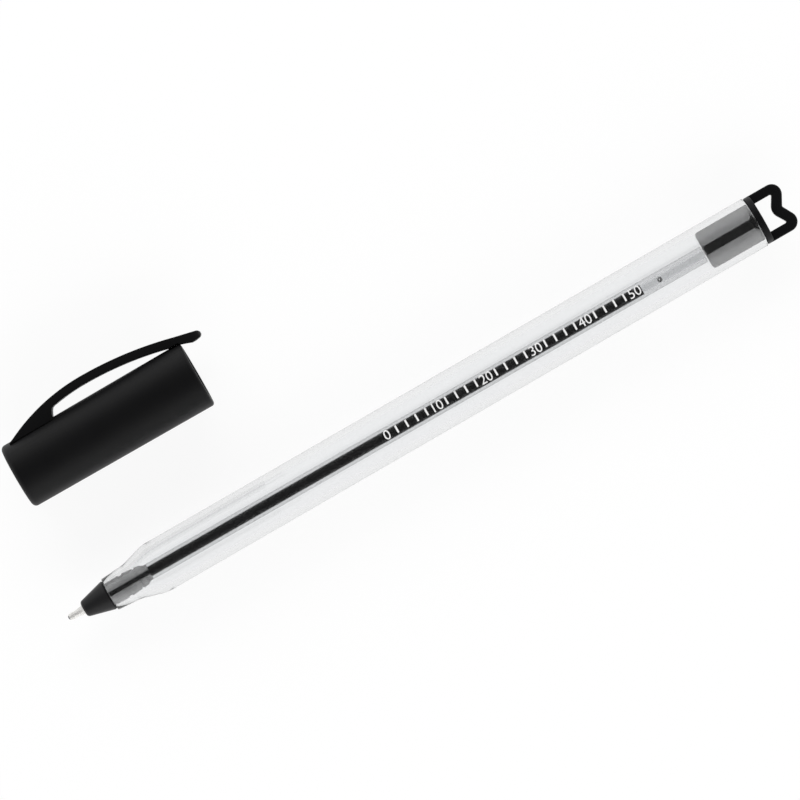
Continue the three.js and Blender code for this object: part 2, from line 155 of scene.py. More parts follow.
def shift(move):
    """Moves what is selected."""
    bpy.ops.transform.translate(value=move)


def draw_edge(move):
    """Extrudes the selected points into edges that reach that far."""
    bpy.ops.mesh.extrude_vertices_move(TRANSFORM_OT_translate={"value": move})


def pull_out(move):
    """Extrudes the selected edges or faces by that move."""
    bpy.ops.mesh.extrude_region_move(TRANSFORM_OT_translate={"value": move})


def close_up():
    """Merges points that coincide, turns the faces outwards and leaves edit mode."""
    bpy.ops.mesh.select_mode(type="VERT")
    pick_all()
    bpy.ops.mesh.remove_doubles(threshold=SAME_PLACE)
    bpy.ops.mesh.normals_make_consistent(inside=False)
    lay_down()


def begin(name):
    """Names the piece in hand and goes into edit mode."""
    piece = bpy.context.object
    piece.name = piece.data.name = name
    bpy.ops.object.mode_set(mode="EDIT")
    return piece


def start_piece(name):
    """A new mesh of one point at the origin, in edit mode."""
    lay_down()
    bpy.ops.mesh.primitive_plane_add(size=MM, location=(0, 0, 0))
    piece = begin(name)
    bpy.ops.mesh.merge(type="CENTER")
    return piece


lay_down()
print("Nothing is selected:", not bpy.context.selected_objects)

# %% [markdown]
# ## How a turned piece is made
# Nearly every piece of a pen is round, and a turner makes it by holding a tool to it while it spins.
# Here its section is drawn as a line beside the axis, point by point with the extrude operator, its
# corners are rounded with a bevel of the points, and spin sweeps it round the axis. Stacked
# cylinders would be quicker, but have no rounded edges, and it is the edges that catch the light.

# %% The lathe
WIDE_ROUNDING = 0.3


def draw_section(places, closed):
    """Draws a line through the places, from the single point that a new piece has."""
    shift(places[0])
    for here, there in zip(places, places[1:]):
        draw_edge(there - here)
    if closed:
        ends = (places[0], places[-1])
        pick(lambda point: any((point.co - end).length < SAME_PLACE for end in ends))
        bpy.ops.mesh.edge_face_add()


def turn(name, start, corners, steps=96, closed=True):
    """Turns a section about an axis along X. A corner is a place, a radius and, where it isn't
    sharp, its rounding, in millimetres."""
    piece = start_piece(name)
    places = [start + mm(x, 0, radius) for x, radius, *_ in corners]
    draw_section(places, closed)
    for size in sorted({rounding for _, _, *rest in corners for rounding in rest}):
        soft = [place for place, corner in zip(places, corners) if size in corner[2:]]
        pick(lambda point: any((point.co - place).length < CLOSE_BY for place in soft))
        bpy.ops.mesh.bevel(
            offset=size * MM,
            segments=3 if size < WIDE_ROUNDING else 6,
            affect="VERTICES",
            clamp_overlap=False,
        )
    pick_all()
    bpy.ops.mesh.spin(steps=steps, angle=2 * math.pi, center=start, axis=(1, 0, 0))
    close_up()
    return piece


def arc(x, y, radius, first, last, steps):
    """Points along an arc about a middle, with angles in degrees from +X."""
    angles = [math.radians(first + (last - first) * i / steps) for i in range(steps + 1)]
    return [(x + radius * math.cos(a), y + radius * math.sin(a)) for a in angles]


print("The lathe is ready")

# %% [markdown]
# ## Putting a finished piece in its place
# A fine piece takes the place of a plain one: it moves with the same body, and the plain one is
# hidden. Before that it is shaded smooth up to an angle, which keeps its real edges crisp and hides
# the strips of its turned surfaces. A rounded edge would then tilt the normals of the long faces
# beside it, which clear plastic shows as dark streaks, so the normals are weighted by the size of
# the faces. Modifiers are applied one by one, so that the mesh that is kept is the mesh that is seen.

# %% Apply modifiers, join, dress and seat
SHARP_ANGLE = 35


def take_up(*pieces):
    """Selects only these pieces; the first one is the piece in hand."""
    lay_down()
    for piece in pieces:
        piece.select_set(True)
    bpy.context.view_layer.objects.active = pieces[0]


def apply_modifier(piece, kind, **values):
    """Adds a modifier with those values and applies it."""
    take_up(piece)
    modifier = piece.modifiers.new(kind.lower(), kind)
    for key, value in values.items():
        setattr(modifier, key, value)
    bpy.ops.object.modifier_apply(modifier=modifier.name)


def join(pieces):
    """Makes one mesh of several; the first one keeps its name."""
    take_up(*pieces)
    bpy.ops.object.join()
    return pieces[0]


def dress(piece, finish):
    """Shades a piece smooth but for its sharp edges, and gives it its finish."""
    take_up(piece)
    bpy.ops.object.shade_smooth_by_angle(angle=math.radians(SHARP_ANGLE))
    apply_modifier(piece, "WEIGHTED_NORMAL", keep_sharp=True)
    piece.data.materials.clear()
    piece.data.materials.append(finish)
    print(piece.name, "is", in_mm(piece.dimensions), "mm with", len(piece.data.polygons), "faces")


def seat(piece, body, node, finish):
    """Dresses a piece and puts it in the place of a plain one."""
    dress(piece, finish)
    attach(piece, body)
    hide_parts(node)


print("The bench is ready")

# %% [markdown]
# ## Tools for finishes
# A finish is a small network of shader nodes. An input is either fed by another node or has a value
# of its own, and both are written in the same way. Values that are the same all over a surface are
# set straight on the shader's socket, and only what changes over the surface is linked.

# %% Materials, nodes and groups
def grey(value):
    """A neutral colour."""
    return value, value, value, 1


def feed(node, inputs):
    """Fills inputs of a node: another node's output is linked, and anything else is a value."""
    for key, value in inputs.items():
        if isinstance(value, bpy.types.NodeSocket):
            node.id_data.links.new(value, node.inputs[key])
        else:
            node.inputs[key].default_value = value


def add(tree, kind, inputs=None, **settings):
    """Adds a node to a tree, with its settings and with its inputs fed."""
    node = tree.nodes.new("ShaderNode" + kind)
    for key, value in settings.items():
        setattr(node, key, value)
    feed(node, inputs or {})
    return node


def feed_shader(tree, inputs):
    """Fills inputs of a material's Principled shader."""
    feed(tree.nodes["Principled BSDF"], inputs)


def new_finish(name, inputs):
    """A material with those inputs on its Principled shader, and its node tree."""
    finish = bpy.data.materials.new(name)
    finish.use_nodes = True
    feed_shader(finish.node_tree, inputs)
    return finish, finish.node_tree


def new_group(name, inputs, outputs):
    """A node group with named number inputs and outputs, and its two end nodes."""
    group = bpy.data.node_groups.new(name, "ShaderNodeTree")
    for title, value in inputs.items():
        socket = group.interface.new_socket(title, in_out="INPUT", socket_type="NodeSocketFloat")
        socket.default_value = value
    for title in outputs:
        group.interface.new_socket(title, in_out="OUTPUT", socket_type="NodeSocketFloat")
    return group, group.nodes.new("NodeGroupInput"), group.nodes.new("NodeGroupOutput")


def use_group(tree, group, inputs):
    """Puts a group in a material with its own values, and gives its outputs."""
    node = add(tree, "Group", node_tree=group)
    feed(node, inputs)
    return node.outputs


print("The paint shop is ready")

# %% [markdown]
# Four kinds of node come back in nearly every finish, so each has a short name: the place on the
# piece, a sum or product, a range that is moved to another, and a noise.

# %% Name the nodes that come back
def piece_place(tree):
    """The place on the piece, in metres."""
    return add(tree, "TexCoord").outputs["Object"]


def combine(tree, operation, first, second):
    """Two numbers, added, multiplied or the like."""
    return add(tree, "Math", {0: first, 1: second}, operation=operation).outputs[0]


def remap(tree, value, old, new=(0.0, 1.0), **settings):
    """A number whose old range becomes the new one, and which stays within it."""
    ends = {"From Min": old[0], "From Max": old[1], "To Min": new[0], "To Max": new[1]}
    return add(tree, "MapRange", {"Value": value, **ends}, **settings).outputs["Result"]


def noise(tree, place, scale, detail, roughness=0.5):
    """Soft spots, as many to a metre as the scale says."""
    texture = {"Vector": place, "Scale": scale, "Detail": detail, "Roughness": roughness}
    return add(tree, "TexNoise", texture).outputs["Fac"]


print("Four nodes have short names")

# %% [markdown]
# ## The grain of a moulded surface
# Plastic copies the steel of its mould: a spark-eroded mould leaves a fine, even grain, and the
# plastic shrinks a little unevenly as it cools, which shows as broad, faint waves in the gloss. Both
# are made once as a group, from a fine and a broad noise, and each plastic sets its own sizes. The
# group gives a height for a bump, and a mask for tone and roughness.

# %% Build the grain group
grain, grain_in, grain_out = new_group(
    "moulded_grain", {"Grain Size": 0.15, "Wave Size": 6.0, "Wave Share": 0.5}, ["Height", "Mask"]
)
grain_place = piece_place(grain)
per_grain = combine(grain, "DIVIDE", 1 / MM, grain_in.outputs["Grain Size"])
per_wave = combine(grain, "DIVIDE", 1 / MM, grain_in.outputs["Wave Size"])
fine = noise(grain, grain_place, per_grain, 2.0)
broad = noise(grain, grain_place, per_wave, 3.0, 0.55)
shares = {"Factor": grain_in.outputs["Wave Share"], "A": fine, "B": broad}
both = add(grain, "Mix", shares, data_type="FLOAT")
feed(grain_out, {"Height": fine, "Mask": both.outputs["Result"]})
print("The grain group gives", [s.name for s in grain_out.inputs if s.name])

# %% [markdown]
# ## Fine scratches from use
# A pen is carried with keys and coins, and a cap is pushed on hundreds of times, so plastic gets
# fine hair-lines that mostly run along it. A noise that is stretched along X gives long thin lines,
# and a ramp keeps only its crests. The group gives a mask for the roughness.

# %% Build the hair-line group
hairline, hair_in, hair_out = new_group("hair_lines", {"Amount": 0.5}, ["Mask"])
hair_place = piece_place(hairline)
stretch = add(hairline, "Mapping", {
    "Vector": hair_place,
    "Scale": (60.0, 2600.0, 2600.0),
    "Rotation": (0.0, 0.02, 0.05),
})
lines = noise(hairline, stretch.outputs["Vector"], 1.0, 1.0, 0.4)
crests = remap(hairline, lines, (0.60, 0.74), interpolation_type="SMOOTHSTEP")
patches = remap(hairline, noise(hairline, hair_place, 90.0, 2.0), (0.45, 0.62))
scratches = combine(hairline, "MULTIPLY", crests, patches)
amount = combine(hairline, "MULTIPLY", scratches, hair_in.outputs["Amount"])
feed(hair_out, {"Mask": amount})
print("The hair-line group gives", [s.name for s in hair_out.inputs if s.name])

# %% [markdown]
# ## The light table
# Small goods are photographed on a lit white table. To the camera, in gloss and through clear
# plastic it is white, mostly by a glow of its own, and the rest of it takes a soft shadow. To all
# other light it is a plain pale surface, which lights the pen no more than a real one does.

# %% Make the table
TABLE_SIDE = 6
TABLE_DROP = 0.05
GLOW_SHARE = 0.9


def choose(tree, end, mask, first, second):
    """Ends a tree in the first shader where the mask is 0, and in the second where it is 1."""
    choice = add(tree, "MixShader", {0: mask, 1: first.outputs[0], 2: second.outputs[0]})
    feed(tree.nodes[end], {"Surface": choice.outputs[0]})


table_white, table_tree = new_finish(
    "white_table", {"Base Color": grey(0.8), "Roughness": 0.9, "Specular IOR Level": 0.1}
)
near_white = add(table_tree, "BsdfDiffuse", {"Color": grey(1)})
glow = add(table_tree, "Emission", {"Color": grey(1), "Strength": 1.0})
white = add(table_tree, "MixShader", {0: GLOW_SHARE, 1: near_white.outputs[0], 2: glow.outputs[0]})
seen = add(table_tree, "LightPath").outputs
camera_or_gloss = combine(table_tree, "MAXIMUM", seen["Is Camera Ray"], seen["Is Glossy Ray"])
looked_at = combine(table_tree, "MAXIMUM", camera_or_gloss, seen["Is Transmission Ray"])
choose(table_tree, "Material Output", looked_at, table_tree.nodes["Principled BSDF"], white)

lay_down()
bpy.ops.mesh.primitive_grid_add(
    x_subdivisions=4, y_subdivisions=4, size=TABLE_SIDE, location=(0, 0, 0)
)
table = begin("white_table")
shift(mm(0, 0, -TABLE_DROP))
lay_down()
table.data.materials.append(table_white)
print("The table is", TABLE_SIDE, "m wide")

# %% [markdown]
# ## Lamps and sky
# Two wide soft lamps stand low at both sides. The sky is white round the horizon and dark overhead,
# where the photographer stood: what lies level and glossy stays deep in colour, and the round sides
# of the black cap mirror the white in two pale bands. Together they light an upward white surface
# at about its written colour. The lamps' own mirror images are kept out, as with a filter.

# %% Set up the lamps and the sky
LAMP_DISTANCE = 0.9
LAMP_WIDTH = 1.3
LAMP_HEIGHT = 0.5
LAMP_WATTS = 7.4
SKY_FADE = (0.45, 0.8)
SKY_OVERHEAD = 0.08


def soft_lamp(name, azimuth, elevation):
    """A wide lamp that looks at the middle of the table; azimuth 0 is +X and 90 is +Y."""
    data = bpy.data.lights.new(name, "AREA")
    data.shape = "RECTANGLE"
    data.size = LAMP_WIDTH
    data.size_y = LAMP_HEIGHT
    data.energy = LAMP_WATTS
    lamp = bpy.data.objects.new(name, data)
    bpy.context.scene.collection.objects.link(lamp)
    a, e = math.radians(azimuth), math.radians(elevation)
    way = Vector((math.cos(a) * math.cos(e), math.sin(a) * math.cos(e), math.sin(e)))
    lamp.location = LAMP_DISTANCE * way
    lamp.rotation_euler = (-lamp.location).to_track_quat("-Z", "Y").to_euler()
    lamp.visible_glossy = False
    lamp.visible_transmission = False


soft_lamp("lamp_cap_side", 80, 27)
soft_lamp("lamp_pen_side", -100, 22)

sky = bpy.data.worlds.new("studio")
bpy.context.scene.world = sky
sky.use_nodes = True
sky_tree = sky.node_tree
sky_way = add(sky_tree, "TexCoord").outputs["Generated"]
sky_height = add(sky_tree, "SeparateXYZ", {0: sky_way}).outputs["Z"]
sky_light = sky_tree.nodes["Background"]
sky_strength = remap(sky_tree, sky_height, SKY_FADE, (1.0, SKY_OVERHEAD))
feed(sky_light, {"Color": grey(1), "Strength": sky_strength})
sky_white = add(sky_tree, "Background", {"Color": grey(1), "Strength": 1.0})
sky_seen = add(sky_tree, "LightPath").outputs["Is Camera Ray"]
choose(sky_tree, "World Output", sky_seen, sky_light, sky_white)
bpy.context.scene.view_settings.view_transform = "Standard"
print("Two lamps and the sky light the table")

# %% [markdown]
# ## The clear barrel
# The barrel is injected from clear polystyrene round a steel core: a long tube with a shoulder and a
# narrower nozzle at the front. It is turned from one section with both its outside and its bore,
# because light is bent at each face of the wall, and a single skin would look like a soap bubble.
# The small air hole near the back narrows inwards, as the pin that moulds it does, and is cut with
# a boolean. A ring of points on both sides of it keeps the cut away from the long faces.

# %% Turn the barrel and drill its air hole
NOZZLE_FRONT = 8.35
NOZZLE_BACK = 12.95
NOZZLE_BORE = 2.25
SHOULDER = 4.5
BARREL_BACK = 139.35
BORE = 3.6
BORE_BACK = 13.45
VENT_AT = 119.55
VENT_ASIDE = 0.33
VENT_MARGIN = 1.5

barrel = turn("clear_barrel", pen_start, [
    (NOZZLE_FRONT, NOZZLE_BORE, 0.12),
    (NOZZLE_FRONT, 3.1, 0.25),
    (NOZZLE_BACK, 3.4, 0.6),
    (NOZZLE_BACK + SHOULDER, barrel_radius, 0.6),
    (VENT_AT - VENT_MARGIN, barrel_radius),
    (VENT_AT + VENT_MARGIN, barrel_radius),
    (BARREL_BACK, barrel_radius, 0.25),
    (BARREL_BACK, BORE, 0.2),
    (VENT_AT + VENT_MARGIN, BORE),
    (VENT_AT - VENT_MARGIN, BORE),
    (BORE_BACK + SHOULDER, BORE, 1.3),
    (BORE_BACK, NOZZLE_BORE, 0.5),
], steps=160)

lay_down()
wall = barrel_radius - BORE
vent_height = barrel_radius - wall / 2
vent_place = pen_start + mm(VENT_AT, -VENT_ASIDE, vent_height)
bpy.ops.mesh.primitive_cone_add(
    vertices=24, radius1=0.05 * MM, radius2=0.39 * MM, depth=1.5 * wall * MM, location=vent_place
)
drill = bpy.context.object
apply_modifier(barrel, "BOOLEAN", operation="DIFFERENCE", solver="EXACT", object=drill)
bpy.data.objects.remove(drill)
print("The barrel is", round(barrel.dimensions.x / MM, 2), "mm long")

# %% [markdown]
# ## How light and gloss are spread
# A clear shader would block the lamps, so its shadow rays are let through, as light is in reality. A
# volume takes a share of the light for every millimetre inside a plastic. And a mask spreads a
# tone, a roughness or a bump over a surface.

# %% Let light in and link masks to a shader
def let_lamps_through(tree, tint):
    """Shadow rays pass the surface with a slight loss, so that what is inside gets its light."""
    shadow = add(tree, "LightPath").outputs["Is Shadow Ray"]
    passing = add(tree, "BsdfTransparent", {"Color": tint})
    choose(tree, "Material Output", shadow, tree.nodes["Principled BSDF"], passing)


def lose_light_inside(tree, loss):
    """A loss of light per millimetre inside the piece."""
    soot = add(tree, "VolumeAbsorption", {"Color": grey(0), "Density": loss / MM})
    feed(tree.nodes["Material Output"], {"Volume": soot.outputs[0]})


def link_tone(tree, mask, first, second):
    """A colour that goes from the first to the second with a mask."""
    tone = add(tree, "Mix", {"Factor": mask, "A": first, "B": second}, data_type="RGBA")
    feed_shader(tree, {"Base Color": tone.outputs["Result"]})


def link_roughness(tree, mask, low, high):
    """Roughness that goes from low to high with a mask."""
    feed_shader(tree, {"Roughness": remap(tree, mask, (0.0, 1.0), (low, high))})


def link_bump(tree, height, depth):
    """A bump of that depth in millimetres."""
    bump = add(tree, "Bump", {"Height": height, "Strength": 1.0, "Distance": depth * MM})
    feed_shader(tree, {"Normal": bump.outputs["Normal"]})


print("Light, tone, roughness and bump can be linked")

# %% [markdown]
# ## Clear polystyrene
# Polystyrene is the clearest cheap plastic, and it bends light strongly, with an index of 1.59. It is
# a Principled shader with full transmission. A tint of its surface would grey the middle of the
# barrel more than its edges, where the light runs furthest inside the wall, so a thin volume takes
# the light instead. Use leaves faint hair-lines, which only show in the roughness. Round the air
# hole the surface is dull, and its colour is darkened to near black with painted shade, for the
# light that the hole's wall bends away. A mask finds it by the distance from its middle.

# %% Mix the clear plastic
# Where the painted shade and the dullness round the air hole begin, and where they are full.
SHADED_DULL_FROM = 0.74 * MM
SHADED_DULL_INSIDE = 0.68 * MM

clear, clear_tree = new_finish("clear_polystyrene", {"IOR": 1.59, "Transmission Weight": 1.0})
from_hole = add(
    clear_tree, "VectorMath", {0: piece_place(clear_tree), 1: vent_place}, operation="DISTANCE"
)
# Painted shade: this mask turns the colour round the air hole near black, and also makes it dull.
dull_and_shaded = remap(clear_tree, from_hole.outputs["Value"], (SHADED_DULL_FROM, SHADED_DULL_INSIDE))
link_tone(clear_tree, dull_and_shaded, (0.98, 0.985, 0.99, 1), grey(0.05))
clear_lines = use_group(clear_tree, hairline, {"Amount": 0.25})
clear_worn = combine(clear_tree, "MAXIMUM", clear_lines["Mask"], dull_and_shaded)
link_roughness(clear_tree, clear_worn, 0.03, 0.4)
lose_light_inside(clear_tree, 0.045)
let_lamps_through(clear_tree, (0.9, 0.9, 0.905, 1))
seat(barrel, "barrel", "barrel", clear)

# %% [markdown]
# ## The writing ball and its metal point
# A ball of hard carbide, one millimetre across, turns in a socket at the end of a nickel silver
# point, whose rim is pressed in past the middle of the ball so that it can't fall out. The point is
# turned with its socket, its nib, its long cone and its shank, and the ball is a half circle spun
# about the axis. A ready-made sphere would do for the ball, but its poles would not lie on the axis.

# %% Turn the ball and the point
BALL = 0.5
SOCKET = 0.53
RIM_HOLD = 0.02
INK_HOLE = 0.2
NIB = 0.64
NIB_BACK = 1.95
NIB_GROOVE = 0.02
SHANK = 1.15
SHANK_FRONT = 4.3
POINT_BACK = 7.9

ball_arc = arc(BALL, 0, BALL, 180, 0, 24)
ball_arc[0] = (0.0, 0.0)
ball_arc[-1] = (2 * BALL, 0.0)
ball = turn("writing_ball", pen_start, ball_arc, steps=48, closed=False)

rim_angle = 180 - math.degrees(math.asin((BALL - RIM_HOLD) / SOCKET))
seat_angle = math.degrees(math.asin(INK_HOLE / SOCKET))
socket_arc = arc(BALL, 0, SOCKET, rim_angle, seat_angle, 12)
rim_place = socket_arc[0][0]
point = turn("metal_point", pen_start, [
    *socket_arc,
    (POINT_BACK, INK_HOLE),
    (POINT_BACK, SHANK, 0.1),
    (SHANK_FRONT, SHANK, 0.15),
    (3.0, 0.87),
    (2.96, 0.83),
    (NIB_BACK, NIB + 0.01, 0.08),
    (1.2, NIB),
    (1.16, NIB - NIB_GROOVE),
    (1.10, NIB - NIB_GROOVE),
    (1.06, NIB),
    (0.62, NIB, 0.06),
    (rim_place, 0.56, 0.03),
], steps=64)
print("The rim's radius is", RIM_HOLD, "mm less than the ball's")

# %% [markdown]
# ## Turned metal
# A cutting tool leaves fine rings round a turned point, which stretch the highlights across it. The
# rings are a wave pattern along X, a little uneven, made as a group because the point and the ball
# both have them. Nickel silver is warm and bright, and so finely brushed that most of its light
# comes back scattered. The carbide ball is darker, with a film of black ink that comes and goes
# over it.

# %% Cut the rings and mix the metals
WAVE_LENGTH = 314.16

rings, rings_in, rings_out = new_group("turning_rings", {"Pitch": 0.05}, ["Height"])
cuts = add(rings, "TexWave", {
    "Vector": piece_place(rings),
    "Scale": combine(rings, "DIVIDE", WAVE_LENGTH, rings_in.outputs["Pitch"]),
    "Distortion": 0.6,
    "Detail": 1.0,
}, wave_type="BANDS", bands_direction="X")
feed(rings_out, {"Height": cuts.outputs["Fac"]})

nickel, nickel_tree = new_finish(
    "nickel_silver", {"Base Color": (0.7, 0.69, 0.67, 1), "Metallic": 0.3}
)
nickel_rings = use_group(nickel_tree, rings, {"Pitch": 0.06})
link_roughness(nickel_tree, nickel_rings["Height"], 0.25, 0.4)
link_bump(nickel_tree, nickel_rings["Height"], 0.002)

carbide, carbide_tree = new_finish("inked_carbide", {})
film = noise(carbide_tree, piece_place(carbide_tree), 1600.0, 2.0)
inked = remap(carbide_tree, film, (0.42, 0.55))
link_tone(carbide_tree, inked, (0.34, 0.34, 0.35, 1), (0.02, 0.02, 0.022, 1))
feed_shader(carbide_tree, {"Metallic": remap(carbide_tree, inked, (0.0, 1.0), (1.0, 0.0))})
ball_rings = use_group(carbide_tree, rings, {"Pitch": 0.03})
link_roughness(carbide_tree, ball_rings["Height"], 0.1, 0.16)
seat(ball, "ball", "ball", carbide)
seat(point, "refill", "point_housing", nickel)

# %% [markdown]
# ## The nose cone
# The black cone holds the metal point and closes the front of the barrel, a little narrower than its
# nozzle. It is moulded, so its edges are rounded, the front one widely, and its skin is half glossy.
# It is turned with the step inside that the tip holder's spigot stops against. Its tone varies a
# little with the grain, and hair-lines make it duller.

# %% Turn the nose cone and mix the black plastic
CONE_FRONT = 3.1
CONE_BACK = 8.3
CONE_STEP = 5.35
SHANK_SEAT = 1.18
SPIGOT_SEAT = 1.58

cone = turn("nose_cone_moulding", pen_start, [
    (CONE_FRONT, 0.93, 0.05),
    (CONE_FRONT, 1.46, 0.46),
    (CONE_BACK, 2.85, 0.35),
    (CONE_BACK, SPIGOT_SEAT, 0.06),
    (CONE_STEP, SPIGOT_SEAT),
    (CONE_STEP, SHANK_SEAT),
    (SHANK_FRONT, SHANK_SEAT),
])


def black_plastic(name, colour, low, high, grain_size, depth, gleam=0.22):
    """Black moulded plastic, with the roughness at its least and most worn, and a grain in
    millimetres. The gleam is how strongly it mirrors."""
    finish, tree = new_finish(name, {"Specular IOR Level": gleam})
    skin = use_group(tree, grain, {"Grain Size": grain_size, "Wave Size": 5.0, "Wave Share": 0.6})
    darker = (*[c * 0.8 for c in colour], 1)
    paler = (*[c * 1.25 for c in colour], 1)
    link_tone(tree, skin["Mask"], darker, paler)
    lines = use_group(tree, hairline, {"Amount": 0.5})
    worn = combine(tree, "ADD", skin["Mask"], lines["Mask"])
    link_roughness(tree, worn, low, high)
    link_bump(tree, skin["Height"], depth)
    return finish


half_gloss_black = black_plastic("half_gloss_black", (0.012, 0.012, 0.0125), 0.28, 0.45, 0.12, 0.003)
seat(cone, "refill", "nose_cone", half_gloss_black)

# %% [markdown]
# ## The tip holder
# Behind the cone a smoky, half clear holder grips the barrel's nozzle with a collar and two barbs,
# and ends in a nipple for the ink tube. The barbs are tapered, so that they slide in and then hold.
# It is turned with the fine channel that the ink runs through. Round clear pieces work as lenses:
# the thin thread of ink inside will look about half as wide again.

# %% Turn the tip holder
SPIGOT = 1.55
SPIGOT_FRONT = 5.42
SHANK_HOLE = 1.2
SHANK_HOLE_BACK = 7.95
COLLAR = 2.2
COLLAR_FRONT = 8.37
COLLAR_BACK = 11.4
GROOVE = 0.2
BARB_TAPER = 0.2
FOOT = 1.5
HOLDER_BACK = 16.6
NIPPLE = 0.6
NIPPLE_BACK = 18.6
NIPPLE_BORE = 0.45
NIPPLE_BORE_FRONT = 16.4
CHANNEL = 0.29


def barb(front, back, groove_back, radius, rounding):
    """A barb that is lower at its back, and the groove behind it."""
    low = radius - BARB_TAPER
    return [
        (front, radius, 0.1),
        (back, low, 0.08),
        (back, low - GROOVE, rounding),
        (groove_back, low - GROOVE, rounding),
    ]


holder = turn("tip_holder_moulding", pen_start, [
    (SPIGOT_FRONT, SHANK_HOLE),
    (SPIGOT_FRONT, SPIGOT, 0.08),
    (COLLAR_FRONT, SPIGOT),
    (COLLAR_FRONT, COLLAR, 0.08),
    (COLLAR_BACK, COLLAR, 0.12),
    (COLLAR_BACK, COLLAR - GROOVE, 0.08),
    (12.0, COLLAR - GROOVE, 0.08),
    *barb(12.0, 14.1, 14.45, COLLAR, 0.06),
    *barb(14.45, 15.65, 16.0, COLLAR - 0.15, 0.04),
    (16.0, FOOT, 0.06),
    (HOLDER_BACK, FOOT, 0.06),
    (HOLDER_BACK, NIPPLE),
    (NIPPLE_BACK, NIPPLE, 0.03),
    (NIPPLE_BACK, NIPPLE_BORE),
    (NIPPLE_BORE_FRONT, NIPPLE_BORE),
    (NIPPLE_BORE_FRONT, CHANNEL),
    (SHANK_HOLE_BACK, CHANNEL),
    (SHANK_HOLE_BACK, SHANK_HOLE),
])
print("The holder grips", round(HOLDER_BACK - COLLAR_FRONT, 2), "mm of the nozzle and the bore")

# %% [markdown]
# ## Smoky plastic
# This plastic is dyed only lightly, so it is grey where it is thin and nearly black where it is
# thick. A tint of the surface doesn't know how thick the piece is. So the surface takes a share of
# the light, and a volume inside takes more of it for every millimetre. The surface is slightly
# frosted, which evens out what is seen through it.

# %% Mix the smoky plastic
def smoky_plastic(name, tone, loss, roughness):
    """A half clear plastic with that tone, and that loss of light per millimetre inside."""
    finish, tree = new_finish(name, {
        "Base Color": grey(tone), "IOR": 1.5, "Transmission Weight": 1.0,
    })
    skin = use_group(tree, grain, {"Grain Size": 0.3, "Wave Size": 3.0, "Wave Share": 0.7})
    link_roughness(tree, skin["Mask"], roughness * 0.8, roughness * 1.2)
    link_bump(tree, skin["Height"], 0.0005)
    lose_light_inside(tree, loss)
    let_lamps_through(tree, grey(0.95))
    return finish


smoky_holder = smoky_plastic("smoky_holder", 0.5, 0.14, 0.25)
seat(holder, "refill", "tip_holder", smoky_holder)

# %% [markdown]
# ## The ink tube
# The ink tube is drawn from milky polypropylene, three millimetres across. Its wall blurs what is
# behind it a little, so it is a clear shader with more roughness. Its cut ends are square, with a
# hair of rounding where the knife pressed. Only the nipple holds it, so it never lies quite in the
# middle of the barrel: its back end is picked and moved aside a little.

# %% Turn the ink tube
TUBE = 1.5
TUBE_BORE = 0.625
TUBE_FRONT = 16.65
TUBE_BACK = 128.6
TUBE_LEAN = 0.38


def lean(piece, back):
    """Moves the back end of a long piece aside by its share of the tube's lean."""
    aside = TUBE_LEAN * (back - TUBE_FRONT) / (TUBE_BACK - TUBE_FRONT) * MM
    take_up(piece)
    bpy.ops.object.mode_set(mode="EDIT")
    pick(lambda point: point.co.x > pen_start.x + (back - 1) * MM)
    shift((0, -aside, 0))
    lay_down()


tube = turn("milky_tube", pen_start, [
    (TUBE_FRONT, TUBE, 0.04),
    (TUBE_BACK, TUBE, 0.04),
    (TUBE_BACK, TUBE_BORE, 0.04),
    (TUBE_FRONT, TUBE_BORE, 0.04),
], steps=80)
lean(tube, TUBE_BACK)

milky, milky_tree = new_finish("milky_polypropylene", {
    "Base Color": (0.875, 0.88, 0.885, 1), "IOR": 1.49, "Transmission Weight": 1.0,
})
milky_skin = use_group(milky_tree, grain, {"Grain Size": 0.4, "Wave Size": 8.0, "Wave Share": 0.6})
link_roughness(milky_tree, milky_skin["Mask"], 0.1, 0.3)
let_lamps_through(milky_tree, (0.88, 0.88, 0.89, 1))
seat(tube, "refill", "ink_tube", milky)

# %% [markdown]
# ## The ink
# Black paste fills the tube from the holder to where the pen has been written down to, and ends in a
# hollow surface that clings to the wall. It touches the wall without any air between, which makes it
# look wider than it is. So its column is turned a hundredth of a millimetre wider than the bore, and
# a light ray in the wall meets ink and no gap. A film of ink also creeps between the nipple and the
# tube, so the column looks black right from the holder on.

# %% Turn the ink column
INK_FRONT = 1.06
INK_BACK = 116.1
INK_THREAD = 0.17
OVERLAP = 0.01
DISH_DEPTH = 0.5

ink_radius = TUBE_BORE + OVERLAP
channel_ink = CHANNEL + OVERLAP / 2
nipple_ink = NIPPLE_BORE - OVERLAP
nipple_film = NIPPLE + OVERLAP
dish_radius = (DISH_DEPTH ** 2 + ink_radius ** 2) / (2 * DISH_DEPTH)
dish_angle = math.degrees(math.asin(ink_radius / dish_radius))
dish_place = INK_BACK - DISH_DEPTH + dish_radius
dish = arc(dish_place, 0, dish_radius, 180 - dish_angle, 180, 8)
dish[-1] = (dish[-1][0], 0.0)
ink = turn("ink_paste", pen_start, [
    (INK_FRONT, 0.0),
    (INK_FRONT, INK_THREAD),
    (8.0, INK_THREAD),
    (8.0, channel_ink),
    (NIPPLE_BORE_FRONT + OVERLAP, channel_ink),
    (NIPPLE_BORE_FRONT + OVERLAP, nipple_ink),
    (NIPPLE_BACK + 0.05, nipple_ink),
    (NIPPLE_BACK + 0.05, nipple_film),
    (TUBE_FRONT + OVERLAP, nipple_film),
    (TUBE_FRONT + OVERLAP, ink_radius),
    *dish,
], steps=48, closed=False)
lean(ink, INK_BACK)

paste, paste_tree = new_finish("black_paste", {"Specular IOR Level": 0.1})
smear = noise(paste_tree, piece_place(paste_tree), 700.0, 3.0)
link_tone(paste_tree, smear, grey(0.001), (0.003, 0.003, 0.0035, 1))
link_roughness(paste_tree, smear, 0.2, 0.4)
seat(ink, "refill", "ink_column", paste)

